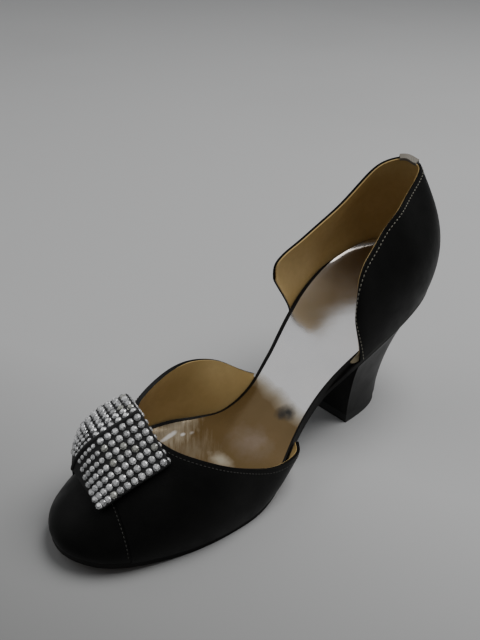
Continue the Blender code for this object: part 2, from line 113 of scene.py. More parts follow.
# One rib of the upper a row: where it leaves the sole, where it ends on the topline, how it leans out
# at the sole, the length of its lower handle, its slope at the topline and the upper handle
RIB = "side sole_y top_x top_y top_z lean rise slope reach"
VAMP_RIBS = table(
    RIB,
    (NEAR, 115.5, 27.2, 115.8, 17.3, 14, 0.9, 75, 0.9),
    (NEAR, 110, 32.4, 111.3, 18.4, 20, 2.4, 88, 2),
    (NEAR, 103, 35.8, 105.5, 19.8, 34, 3.8, 82, 3),
    (NEAR, 91, 37.5, 92.2, 21.9, 36, 6, 80, 5),
    (NEAR, 76, 35.2, 77, 27.8, 16, 9.5, 70, 8),
    (NEAR, 60, 31.5, 63.5, 35.2, 16, 12, 56, 11),
    (NEAR, 46, 25, 54.5, 39.8, 16, 13.5, 45, 14),
    (NEAR, 31, 16.5, 48.8, 42.2, 17, 12, 36, 17),
    (NEAR, 16, 8, 46, 44.4, 20, 10.8, 33, 20),
    (NEAR, 5, 1.5, 44.8, 45.8, 22, 9.8, 34, 21),
    (FAR, 5, -6, 45, 46.8, 22, 8.8, 39, 21),
    (FAR, 16, -11, 46.8, 47.6, 20, 7.6, 47, 20),
    (FAR, 31, -15.5, 50.8, 47.2, 15, 9, 55, 19),
    (FAR, 46, -19.8, 57, 47.4, 13, 12, 61, 17),
    (FAR, 60, -24.2, 67, 47.2, 12, 14, 69, 15),
    (FAR, 76, -28.2, 80, 46.7, 10, 14, 75, 13),
    (FAR, 91, -30.4, 93, 44.8, 9, 14, 82, 12),
    (FAR, 104, -29.6, 104.5, 41.6, 11, 11, 93, 10),
    (FAR, 115, -26.8, 115, 36.4, 15, 7, 100, 6.5),
    (FAR, 124, -22.5, 124.2, 29.7, 16, 2.6, 102, 2.4),
    (FAR, 129.6, -19.8, 130.4, 26, 13, 0.6, 95, 0.6),
)
COUNTER_RIBS = table(
    RIB,
    (NEAR, 157.6, 25.2, 152.4, 72, 5, 8, 84, 8),
    (NEAR, 159, 24.8, 152.6, 83, 6, 13, 78, 13),
    (NEAR, 161.2, 24, 155.2, 93, 7, 18, 73, 17),
    (NEAR, 165.5, 22.7, 161.6, 100.2, 9, 21, 69, 20),
    (NEAR, 172, 21, 169.4, 105.2, 11, 23, 65, 21),
    (NEAR, 180, 19.4, 176.6, 109.9, 12, 24, 62, 22),
    (NEAR, 189, 18.6, 185.5, 114.7, 13, 25, 62, 23),
    (NEAR, 200, 14.3, 197.4, 118, 14, 26, 56, 24),
    (NEAR, 214, 9.1, 212.8, 123.2, 14, 26, 58, 24),
    (NEAR, 229, 1.6, 219.5, 127.9, 13, 25, 66, 23),
    (FAR, 214, -8.4, 213.5, 127.8, 11, 24, 70, 22),
    (FAR, 203, -14.1, 206.3, 122.7, 10, 22, 72, 20),
    (FAR, 194, -17.1, 198, 114.6, 9, 19, 73, 17),
    (FAR, 185, -19.7, 186.6, 105, 8, 16, 75, 15),
    (FAR, 176, -22.3, 172.6, 96.5, 7, 14, 78, 13),
    (FAR, 169.6, -23.9, 159.6, 89.9, 6, 12, 80, 11),
    (FAR, 165.6, -24.7, 150.6, 85.4, 5, 10, 82, 9),
    (FAR, 163.6, -24.8, 146.7, 80.4, 4, 7.5, 84, 6),
    (FAR, 162.4, -24.6, 146.6, 75, 4, 5.5, 88, 3),
)

# Lines of the bow on its upper face: where each starts at the rear, a point ahead that it aims at, the
# length that stays straight, the radius of the bend ahead of it, whether the bend goes down, how far the
# wing between the ridge and this line swells, and where its first row of stones is, in rows from the ridge
BOW_RIDGE, BOW_OUTER_EDGE, BOW_INNER_EDGE = table(
    "rear aim straight radius falls swell first_row",
    ((-2.2, 43.8, 56.1), (-12.1, 17.6, 42.4), 20.0, 23.0, True, 0.0, None),
    ((20.0, 42.5, 43.0), (10.8, 12.4, 25.0), 19.0, 18.5, False, 1.0, 0.6),
    ((-23.5, 52.3, 50.4), (-33.6, 25.0, 41.0), 10.0, 26.0, True, 2.0, 0.38),
)

# Leather layers and their edges, in millimetres
LEATHER_THICK = 1.15
LAYER_GAP = 0.04
LEATHER_EDGE = 0.36
LINING_EDGE = 0.16
COUNTER_LINING_DROP = 0.3
LOWERED_MOST = 0.25
FOLD_RAMP = 0.35
FOLD_COVER = 0.06
CAP_UNDERLAP = 1.6
INSOCK_INSET = 1.0
INSOCK_EDGE = 0.15
BOARD_EDGE = 0.6
SOLE_EDGE = 0.4
HEEL_EDGE = 2.2
HEEL_EDGE_SHARE = 0.25
RUBBER_EDGE = 0.3
TAPE_EDGE = 0.2
BOW_EDGE = 0.42 * BOW_THICK
SHARP_ANGLE = np.radians(50)
UPRIGHT_SHARE = 0.6
RIM_SLOPE = 0.7
RIM_BELOW = 0.05

# Width of the black leather that is folded over the vamp's topline to its inner side, by place round the toe
VAMP_FOLD = table(
    "place width",
    (-0.44, 0.15), (-0.39, 0.4), (-0.34, 0.9), (-0.30, 1.9), (-0.10, 2.2), (0.10, 0.2),
)

# What the insock's inner edge stays back more than its outer one, along the last
INNER_EXTRA = table(
    "y inset",
    (0, 0), (30, 0.4), (95, 0.5), (118, 1.2), (160, 1.2), (185, 0.6), (225, 0),
)

# Edges of the footbed that turn up or down: between which distances from the toe, over which run at both
# ends, how high, how wide, and the share of it on the inner and the outer side; the last is the insock alone
*FOOTBED_TURNS, SEAT_CURL = table(
    "first last run rise width inner outer",
    (40, 105, 22, 3.4, 9, 1, 0.2),
    (98, 136, 12, -2.1, 9, 1, 0),
    (138, 200, 16, 1.5, 15, 1, 0),
    (204, 260, 14, 2.2, 7, 1, 1),
    (184, 260, 14, 1.3, 3.4, 1, 1),
)

# Marks on the footbed in the coordinates of the last: centre, reach each way, strength, and the share of
# the reach at which the mark is full
MARK = "x y across along strength core"
RIPPLED_MARKS = table(MARK, (-27.0, 80.0, 10.0, 22.0, 0.6, 0.0), (-12.0, 79.0, 14.0, 16.0, 0.26, 0.0))
# Bare silver patch on the footbed: brown taken away as a painted highlight where the footbed shines
BARE_SILVER_HIGHLIGHT_MARKS = table(MARK, (4.5, 85.8, 8.5, 5.6, 0.75, 0.1))
# White painted highlights on the footbed, where a lamp's glint is painted in
PAINTED_HIGHLIGHT_MARKS = table(
    MARK, (-26.8, 78.4, 1.8, 6.2, 1.0, 0.5), (-22.9, 84.6, 1.4, 1.7, 0.9, 0.3),
    (-20.4, 88.4, 1.3, 1.6, 0.4, 0.2),
)
# Pinkish grey clouds on the footbed: a painted reflection of the bow's stones and the lamps
PAINTED_REFLECTION_MARKS = table(MARK, (8.0, 102.0, 15.0, 11.0, 0.22, -0.1), (10.5, 106.0, 6.0, 5.0, 0.10, 0.0))
DARK_MARKS = table(MARK, (12.8, 122.7, 5.4, 4.2, 0.95, 0.2), (9.8, 121.0, 4.0, 3.0, 0.65, 0.1))

# Direction square to the fine ripples near the bow, and how much longer than wide they are
RIPPLE_ACROSS = (0.654, 0.757, 0.0)
RIPPLE_STRETCH = 7.0

# Turned lining corner at the near front of the counter: reach ahead, upper and lower limit at the wall
CORNER_REACH = 5.2
CORNER_TOP = 1.4
CORNER_FALL = 3.2
CORNER_LAYERS = (1.0, 0.3)
CORNER_BEHIND = 0.5
CORNER_STEPS = (24, 8)

# Stitching, in millimetres; a rib shorter than the room, in margins, carries none
FORE_STITCH, COUNTER_STITCH = table("length space radius", (1.1, 0.75, 0.19), (1.3, 0.95, 0.26))
STITCH_RISE = (-1.2, 0.1, 0.55, 0.55, 0.1, -1.2)
STITCH_MARGIN = 2.3
STITCH_ROOM = 1.6
SEAM_MARGIN = 1.0

# Rings of a stone's corners, in shares of its radius, with the last one round its table
STONE_RINGS = table(
    "share height half_step",
    (1.0, -0.35, 0.0), (1.0, 0.08, 0.0), (0.82, 0.34, 0.5), (0.48, 0.56, 0.0),
)
FACETS_A_SIDE = 5

# Stones of the bow, in millimetres
STONE_COLUMNS = 11
STONE_ROWS = 7
STONE_PITCH = 3.75
STONE_REAR_MARGIN = 2.2
STONE_RADIUS = 1.68
STONE_SIDES = 8
STONE_TILT = 0.06
STONE_SHARE = 0.47
STONE_TINTS = (0.62, 1.0)
SPARE_ROW = 0.1
REAR_STONE_RADIUS = 0.8 * STONE_RADIUS
REAR_STONE_HEIGHT = 0.3
CHANCE_SEED = 7

# Painted brightness of a stone's facets: a painted highlight on its table, a dark girdle and painted glints
# on its crown; stones of a low tint are warm
TABLE_GAIN = 1.15
TABLE_POWER = 1.5
GIRDLE_BRIGHT = 0.06
CROWN_BRIGHT = (0.2, 1.0)
WARM_TINT = 0.66
WARM_BLUE = 0.9

# Columns of stones beside the ridge, and the rolled fold on it, in millimetres
FULL_PITCH_COLUMNS = 6
RIDGE_CLOSENESS = 0.42
RIDGE_CLOSENESS_POWER = 1.5
RIDGE_ROLL = 1.0
RIDGE_SINK = 0.3
RIDGE_TIP = 0.05

# Mesh resolution
VAMP_STEPS = (240, 48)
TOP_CLOSENESS = 1.6
COUNTER_STEPS = (200, 48)
COUNTER_END_CLOSENESS = 0.6
SOLE_STEPS = 200
SOLE_ACROSS = 32
HEEL_STEPS = (48, 28)
TAB_STEPS = (240, 120)
TAB_FALLS = (8, 4, 0)
TAB_INNER_FALLS = (0, 1)
BOW_STEPS = (84, 42)
THREAD_SIDES = 6
RIDGE_SIDES = 12
NEAREST_POINTS = 6
NEAREST_SOFTNESS = 0.001

# Directions that no thread runs along and no stone faces
THREAD_ASIDE = (0.31, 0.57, 0.76)
STONE_ASIDE = (0.2, 0.9, 0.3)


def spline(keys, columns):
    """Natural cubic curve through the rows of a table."""
    keys = np.asarray(keys, float)
    values = np.asarray(columns, float).reshape(len(keys), -1)
    span = np.diff(keys)
    slope = np.diff(values, axis=0) / span[:, None]
    system = np.eye(len(keys))
    bend = np.zeros_like(values)
    for i in range(1, len(keys) - 1):
        system[i, i - 1:i + 2] = span[i - 1], 2 * (span[i - 1] + span[i]), span[i]
        bend[i] = 6 * (slope[i] - slope[i - 1])
    bend = np.linalg.solve(system, bend)

    def at(key):
        key = np.clip(np.asarray(key, float), keys[0], keys[-1])
        i = np.clip(np.searchsorted(keys, key, side="right") - 1, 0, len(keys) - 2)
        h = span[i][..., None]
        after = (key - keys[i])[..., None]
        before = (keys[i + 1] - key)[..., None]
        curve = (bend[i] * before ** 3 + bend[i + 1] * after ** 3) / (6 * h)
        start, end = values[i] / h - bend[i] * h / 6, values[i + 1] / h - bend[i + 1] * h / 6
        return curve + start * before + end * after

    return at


def station(y):
    """Place along the outline, 0 at the toe tip and 1 at the back of the seat."""
    return np.arccos(np.clip(1 - 2 * (y - TOE_Y) / BOARD_LENGTH, -1, 1)) / np.pi


def station_y(place):
    """Distance from the toe of a place along the outline."""
    return TOE_Y + BOARD_LENGTH * (1 - np.cos(np.pi * place)) / 2


def closed_outline():
    """Half widths joined into one round curve: outer side for 0 to 1, inner side for -1 to 0 and 1 to 2."""
    lap = [(0.0, 0.0), (1.0, 0.0)]
    for y, outer_half, inner_half in OUTLINE:
        place = station(y)
        lap += [(place, outer_half), (2 - place, -inner_half)]
    laps = sorted((key + 2 * turn, x) for turn in (-1, 0, 1) for key, x in lap)
    return spline(*zip(*laps))


OUTLINE_X = closed_outline()
FOOTBED_Z = spline(*zip(*FOOTBED))


def footbed(y):
    return FOOTBED_Z(y)[..., 0]


def plan(place, offset):
    """Points of the board's outline, moved outward by an offset, and the outward directions."""
    step = 1e-4

    def point(p):
        return np.stack([OUTLINE_X(p)[..., 0], station_y(p)], -1)

    along = point(place + step) - point(place - step)
    outward = np.stack([along[..., 1], -along[..., 0]], -1)
    outward /= np.linalg.norm(outward, axis=-1, keepdims=True)
    return point(place) + outward * np.asarray(offset, float)[..., None], outward


def unit(vectors):
    return vectors / np.maximum(np.linalg.norm(vectors, axis=-1, keepdims=True), 1e-9)


def at_height(points, z):
    return np.column_stack([points, np.broadcast_to(z, len(points))])


def cubic(t, start, first, last, end):
    """Points at a share of the way along curves with two handles each."""
    return (1 - t) ** 3 * start + 3 * t * (1 - t) ** 2 * first + 3 * t ** 2 * (1 - t) * last + t ** 3 * end


def rib_surface(ribs, far_end, places, heights):
    """Outer face of an upper: a grid of ribs, each a cubic from the sole edge to the topline."""
    side, sole_y, *columns = np.asarray(ribs, float).T
    keys = np.where(side == NEAR, station(sole_y), far_end - station(sole_y))
    order = np.argsort(keys)
    *top, lean, rise, slope, reach = spline(keys[order], np.column_stack(columns)[order])(places).T
    top = np.column_stack(top)
    lean, slope = np.radians(lean), np.radians(slope)
    foot_plan, outward = plan(places, GAP + WALL)
    foot = at_height(foot_plan, footbed(foot_plan[:, 1]) - UPPER_DROP)
    run = foot_plan - top[:, :2]
    lead = np.maximum(np.sum(run * outward, axis=1), 0)[:, None]
    away = unit(lead * unit(run) + SQUARE_PULL * outward)
    lower = foot + rise[:, None] * np.column_stack([np.sin(lean)[:, None] * outward, np.cos(lean)])
    upper = top + reach[:, None] * np.column_stack([np.cos(slope)[:, None] * away, -np.sin(slope)])
    return cubic(heights[None, :, None], *(ends[:, None] for ends in (foot, lower, upper, top)))


def grid_normals(grid):
    """Directions square to a grid, on the side that its first index times its second points to."""
    return unit(np.cross(*np.gradient(grid, axis=(0, 1))))


def vamp_places():
    return np.linspace(-station(VAMP_RIBS[-1].sole_y), station(VAMP_RIBS[0].sole_y), VAMP_STEPS[0] + 1)


def vamp_surface():
    heights = 1 - np.linspace(1, 0, VAMP_STEPS[1] + 1) ** TOP_CLOSENESS
    return rib_surface(VAMP_RIBS, 0, vamp_places(), heights)


def counter_surface(steps):
    """Outer face of the counter, with its ribs closer together toward both ends."""
    first, last = station(COUNTER_RIBS[0].sole_y), 2 - station(COUNTER_RIBS[-1].sole_y)
    share = np.linspace(0, 1, steps[0] + 1)
    share = share - COUNTER_END_CLOSENESS * np.sin(2 * np.pi * share) / (2 * np.pi)
    return rib_surface(COUNTER_RIBS, 2, first + (last - first) * share, np.linspace(0, 1, steps[1] + 1))


def inner_face(grid, outward, depth):
    """The wall's inner face, with its foot kept level with the outer one."""
    depth = np.broadcast_to(depth, grid.shape[:2])[..., None]
    inner = grid - outward * depth
    inner[:, 0, :2] = grid[:, 0, :2] - unit(outward[:, 0, :2]) * depth[:, 0]
    inner[:, 0, 2] = grid[:, 0, 2]
    return inner


def shell(outer, inner):
    """Closed wall between two grids of the same size."""
    rows, cols = outer.shape[:2]
    points = np.concatenate([outer.reshape(-1, 3), inner.reshape(-1, 3)])
    index = np.arange(rows * cols).reshape(rows, cols)
    quads = np.stack([index[:-1, :-1], index[1:, :-1], index[1:, 1:], index[:-1, 1:]], -1).reshape(-1, 4)
    border = [*index[:, 0], *index[-1, 1:], *index[-2::-1, -1], *index[0, -2:0:-1]]
    faces = [*quads.tolist(), *(quads[:, ::-1] + rows * cols).tolist()]
    for a, b in zip(border, border[1:] + border[:1]):
        faces.append([b, a, a + rows * cols, b + rows * cols])
    return points, faces


def layer_grids(offset, top_drop, bottom_drop):
    """Lower and upper face of a layer that follows the outline, at two depths under the footbed's top."""
    places = np.linspace(0, 1, SOLE_STEPS + 1)
    outer, _ = plan(places, offset(station_y(places), NEAR))
    inner, _ = plan(-places, offset(station_y(places), FAR))
    share = (1 - np.cos(np.linspace(0, np.pi, SOLE_ACROSS + 1))) / 2
    across = inner[:, None] + share[None, :, None] * (outer - inner)[:, None]
    level = footbed(across[..., 1])
    return [np.dstack([across, np.maximum(0.0, level - drop)]) for drop in (bottom_drop, top_drop)]


def heel_outline(share):
    """Base outline of the heel: a D with its flat side at the breast, outer and inner edge points."""
    angle = np.pi / 2 * share
    half = HEEL_BASE_HALF * np.cos(angle) ** HEEL_BASE_SQUARENESS
    y = HEEL_BREAST_Y + HEEL_BASE_LENGTH * np.sin(angle) ** HEEL_BASE_SQUARENESS
    return [np.column_stack([HEEL_BASE_CENTRE_X + side * half, y]) for side in (NEAR, FAR)]


def ring_faces(rings, count):
    """Quads between closed rings of points that follow each other."""
    faces = []
    for start in range(0, (rings - 1) * count, count):
        for j in range(count):
            a, b = start + j, start + (j + 1) % count
            faces.append([a, b, b + count, a + count])
    return faces


def ladder(levels):
    """Closed solid from levels of paired outer and inner edge points, whose last pair meets."""
    loops = [np.concatenate([outer, inner[-2::-1]]) for outer, inner in levels]
    count = len(loops[0])
    rungs = len(levels[0][0])
    points = np.concatenate(loops)
    faces = ring_faces(len(loops), count)
    for base, flip in ((0, True), (len(points) - count, False)):
        for j in range(rungs - 1):
            k = count - 1 - j
            rung = [j, j + 1, k - 1, k] if j < rungs - 2 else [j, j + 1, k]
            rung = [base + m for m in rung]
            faces.append(rung[::-1] if flip else rung)
    return points, faces


def heel_block():
    """Covered heel, whose sides rise upright from the base and flare out to the sole."""
    share = np.linspace(0, 1, HEEL_STEPS[0] + 1)
    start = station(HEEL_TOP_START_Y)
    sides = []
    for side, base in zip((NEAR, FAR), heel_outline(share)):
        top, _ = plan(side * (start + (1 - start) * share), GAP + WALL - TREAD_INSET)
        low = at_height(base, TOP_PIECE_HEIGHT + GAP)
        high = at_height(top, footbed(top[:, 1]) - SOLE_DROP - OUTSOLE_THICK - GAP)
        height = (high - low)[:, 2]
        first = low + np.outer(height, (0, 0, HEEL_UPRIGHT))
        last = high + at_height(HEEL_FLARE * (base - top), -HEEL_FLARE_DEPTH * height)
        sides.append([cubic(t, low, first, last, high) for t in np.linspace(0, 1, HEEL_STEPS[1] + 1)])
    return ladder(list(zip(*sides)))


def heel_top_piece():
    middle = np.array([HEEL_BASE_CENTRE_X, HEEL_BREAST_Y + HEEL_BASE_LENGTH / 2])
    edges = heel_outline(np.linspace(0, 1, HEEL_STEPS[0] + 1))
    edges = [edge - TOP_PIECE_INSET * np.sign(edge - middle) for edge in edges]
    return ladder([[at_height(edge, z) for edge in edges] for z in (0.0, TOP_PIECE_HEIGHT)])


def back_tab():
    """Narrow strip folded over the back of the topline, longer outside than inside."""
    grid = counter_surface(TAB_STEPS)
    outward = grid_normals(grid)
    inner = inner_face(grid, outward, WALL)
    across = slice(*(round(share * TAB_STEPS[0]) for share in TAB_SPAN))
    rim = TAB_STEPS[1]
    faces = []
    for depth in (GAP + TAB_THICK, GAP):
        outside, inside = (grid + outward * depth)[across], (inner - outward * depth)[across]
        path = [outside[:, rim - fall] for fall in TAB_FALLS]
        path += [side[:, rim] + (0.0, 0.0, depth) for side in (outside, inside)]
        path += [inside[:, rim - fall] for fall in TAB_INNER_FALLS]
        faces.append(np.stack(path, axis=1))
    return shell(*faces)


def bow_line(line, along, face):
    """Points of a line of the bow, straight from the rear and then bent down toward the toe."""
    rear = np.asarray(line.rear)
    ahead = unit(line.aim - rear)
    length = (1 - along) * BOW_LENGTH
    turn = np.maximum(length - line.straight, 0) / line.radius
    forward = np.minimum(length, line.straight) + line.radius * np.sin(turn)
    drop = line.falls * line.radius * (1 - np.cos(turn))
    return rear + ahead * forward - face * drop


def bow_face(edge):
    """Direction square to a wing of the bow, on its upper side."""
    rear = np.asarray(BOW_RIDGE.rear)
    face = unit(np.cross(BOW_RIDGE.aim - rear, edge.rear - rear))
    return face * np.sign(face[2])


BOW_CREST = unit(bow_face(BOW_OUTER_EDGE) + bow_face(BOW_INNER_EDGE))


def height_over(grid, spots):
    """Height of a surface grid at some spots, from its nearest points in plan."""
    flat = grid.reshape(-1, 3)
    away = np.sum((spots[..., None, :2] - flat[:, :2]) ** 2, axis=-1)
    near = np.argpartition(away, NEAREST_POINTS, axis=-1)[..., :NEAREST_POINTS]
    weight = 1 / (np.take_along_axis(away, near, axis=-1) + NEAREST_SOFTNESS)
    return np.sum(weight * flat[near, 2], axis=-1) / np.sum(weight, axis=-1)


def bow_wing(edge_line, vamp):
    """Bent plate from the ridge of the bow down to the vamp: its upper and its lower face."""
    along = np.linspace(0, 1, BOW_STEPS[0] + 1)[:, None]
    down = np.linspace(0, 1, BOW_STEPS[1] + 1)[None, :, None]
    face = bow_face(edge_line)
    ridge = bow_line(BOW_RIDGE, along, BOW_CREST) + (np.sign(face[0]) * GAP / 2, 0, 0)
    edge = bow_line(edge_line, along, face)

    def plate():
        swell = face * edge_line.swell * 4 * down * (1 - down)
        top = ridge[:, None] + down * (edge - ridge)[:, None] + swell
        under = top - face * BOW_THICK
        under[:, 0] = top[:, 0] - (0, 0, BOW_THICK / face[2])
        return top, under

    _, under = plate()
    lift = height_over(vamp, under) + BOW_SEAT - under[..., 2]
    edge[:, 2] += np.maximum(np.max(lift[:, 1:] / down[:, 1:, 0], axis=1), -BOW_SETTLE)
    return plate()


def in_frame(points):
    """Points of the last, in millimetres, moved into the frame of the shoe, in metres."""
    return (np.asarray(points, float) - (*PLAN_CENTRE, 0.0)) * MM


@contextmanager
def editing(mesh):
    """A mesh opened for changes, which are written back to it."""
    work = bmesh.new()
    work.from_mesh(mesh)
    yield work
    work.to_mesh(mesh)
    work.free()


def add_object(name, data):
    thing = bpy.data.objects.new(name, data)
    bpy.context.scene.collection.objects.link(thing)
    return thing


def make_piece(name, points, faces, material, slot, stands_for=(), edge=0.0):
    """Piece of the shoe with its material, its edges rounded by a bevel of the given width in millimetres."""
    mesh = bpy.data.meshes.new(name)
    mesh.from_pydata(in_frame(points).tolist(), [], [list(map(int, face)) for face in faces])
    with editing(mesh) as work:
        bmesh.ops.remove_doubles(work, verts=work.verts, dist=1e-6)
        bmesh.ops.dissolve_degenerate(work, edges=work.edges, dist=1e-7)
        bmesh.ops.recalc_face_normals(work, faces=work.faces)
    mesh.shade_smooth()
    mesh.materials.append(material)
    piece = add_object(name, mesh)
    if edge:
        round_edges(piece, edge)
    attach(piece, "root")
    if stands_for:
        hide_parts(*stands_for)
    return piece


def round_edges(piece, width):
    bevel = piece.modifiers.new("rounded_edges", "BEVEL")
    bevel.width = width * MM
    bevel.segments = 3
    bevel.limit_method = "ANGLE"
    bevel.angle_limit = SHARP_ANGLE
    piece.modifiers.new("even_shading", "WEIGHTED_NORMAL")


def round_heel_edges(piece):
    """Bevel whose full width is kept for the upright edges, with a share of it on the other sharp ones."""
    with editing(piece.data) as work:
        weight = work.edges.layers.float.new("bevel_weight_edge")
        for edge in work.edges:
            if edge.calc_face_angle(0.0) > SHARP_ANGLE:
                way = edge.verts[1].co - edge.verts[0].co
                edge[weight] = 1.0 if abs(way.z) > UPRIGHT_SHARE * way.length else HEEL_EDGE_SHARE
    round_edges(piece, HEEL_EDGE)
    piece.modifiers["rounded_edges"].limit_method = "WEIGHT"


def trim_at_seam(piece, y, keep_front):
    """Cut a piece across the toe and keep one side of the cut."""
    with editing(piece.data) as work:
        cut = bmesh.ops.bisect_plane(
            work, geom=[*work.verts, *work.edges, *work.faces], dist=1e-7, plane_co=in_frame((0.0, y, 0.0)),
            plane_no=(CAP_SEAM_SKEW, 1.0, 0.0), clear_outer=keep_front, clear_inner=not keep_front)
        rim = [edge for edge in cut["geom_cut"] if isinstance(edge, bmesh.types.BMEdge)]
        bmesh.ops.edgeloop_fill(work, edges=rim)
        bmesh.ops.recalc_face_normals(work, faces=work.faces)
    piece.data.shade_smooth()


# Range that a noise texture mostly fills
NOISE_RANGE = (0.3, 0.7)


class Nodes:
    """Short way to write a material's nodes."""

    def __init__(self, name):
        self.material = bpy.data.materials.new(name)
        self.material.use_nodes = True
        self.tree = self.material.node_tree
        self.shader = self.tree.nodes["Principled BSDF"]

    def add(self, kind, inputs=(), **settings):
        node = self.tree.nodes.new(kind)
        for key, value in settings.items():
            setattr(node, key, value)
        for key, value in dict(inputs).items():
            self.put(node.inputs[key], value)
        return node

    def put(self, socket, value):
        """Link a node's output to a socket, or set its value; a colour is opaque."""
        if isinstance(value, bpy.types.NodeSocket):
            self.tree.links.new(value, socket)
        else:
            socket.default_value = (*value, 1.0) if socket.type == "RGBA" else value

    def set(self, **values):
        """Set or link inputs of the shader, by name."""
        for key, value in values.items():
            self.put(self.shader.inputs[key.replace("_", " ")], value)
        return self.material

    def where(self):
        return self.add("ShaderNodeTexCoord").outputs["Object"]

    def axis(self, name, vector=None):
        """One coordinate of a vector, or of the place on the piece."""
        vector = self.where() if vector is None else vector
        return self.add("ShaderNodeSeparateXYZ", {"Vector": vector}).outputs[name]

    def noise(self, scale, detail=3.0, rough=0.5, at=None):
        at = self.where() if at is None else at
        inputs = {"Vector": at, "Scale": scale, "Detail": detail, "Roughness": rough}
        return self.add("ShaderNodeTexNoise", inputs).outputs["Fac"]

    def cells(self, scale):
        return self.add("ShaderNodeTexVoronoi", {"Scale": scale, "Vector": self.where()}).outputs["Distance"]

    def ramp(self, value, low, high, first=0.0, last=1.0):
        """Value spread from one range to another, with its ends held."""
        inputs = {"Value": value, "From Min": low, "From Max": high, "To Min": first, "To Max": last}
        return self.add("ShaderNodeMapRange", inputs).outputs["Result"]

    def cloud(self, scale, detail=3.0, first=0.0, last=1.0):
        """Noise spread from the range that it mostly fills."""
        return self.ramp(self.noise(scale, detail), *NOISE_RANGE, first, last)

    def swing(self, noise, reach):
        """Noise as a swing to both sides of nothing."""
        return self.math("MULTIPLY", self.math("SUBTRACT", noise, 0.5), reach)

    def math(self, kind, a, b=0.0):
        return self.add("ShaderNodeMath", {0: a, 1: b}, operation=kind).outputs[0]

    def vector(self, kind, a, b=(0.0, 0.0, 0.0), out="Vector"):
        return self.add("ShaderNodeVectorMath", {0: a, 1: b}, operation=kind).outputs[out]

    def mix(self, share, first, second):
        return self.add("ShaderNodeMix", {0: share, 6: first, 7: second}, data_type="RGBA").outputs[2]

    def mark(self, where, mark, soft):
        """Soft round mark at a place of the last, full in its middle and gone at its rim."""
        centre = (*in_frame((mark.x, mark.y, 0.0))[:2], 0.0)
        reach = (mark.across * MM, mark.along * MM, 1.0)
        share = self.vector("DIVIDE", self.vector("SUBTRACT", where, centre), reach)
        length = self.math("ADD", self.vector("LENGTH", share, out="Value"), soft)
        return self.ramp(length, 1.0, mark.core, 0.0, mark.strength)

    def bump(self, height, distance, strength, under=None):
        node = self.add("ShaderNodeBump", {"Height": height, "Distance": distance, "Strength": strength})
        if under is not None:
            self.put(node.inputs["Normal"], under)
        return node.outputs["Normal"]


def black_leather(name, low, high, gloss_low, gloss_high, shine):
    """Fine-grained black leather: tone, gloss and pores vary over it."""
    n = Nodes(name)
    n.set(Base_Color=n.mix(n.cloud(70.0, 4.0), low, high))
    n.set(Roughness=n.cloud(160.0, 3.0, gloss_low, gloss_high), Specular_IOR_Level=shine)
    pores = n.bump(n.cells(1900.0), 0.00006, 0.5)
    return n.set(Normal=n.bump(n.noise(420.0, 4.0), 0.00012, 0.35, pores))


def lining_leather():
    n = Nodes("lining_leather")
    base = n.mix(n.ramp(n.noise(38.0, 4.0), 0.32, 0.68), (0.56, 0.385, 0.15), (0.66, 0.475, 0.205))
    n.set(Base_Color=n.mix(n.math("MULTIPLY", n.cloud(300.0), 0.25), base, (0.42, 0.26, 0.09)))
    return n.set(Roughness=0.52, Specular_IOR_Level=0.25, Normal=n.bump(n.noise(700.0), 0.00008, 0.4))


def cream_leather():
    """Undyed flesh side of the lining."""
    n = Nodes("cream_leather")
    n.set(Base_Color=n.mix(n.cloud(420.0, 4.0), (0.24, 0.19, 0.105), (0.37, 0.31, 0.195)))
    return n.set(Roughness=0.75, Normal=n.bump(n.noise(800.0, 4.0), 0.0001, 0.5))


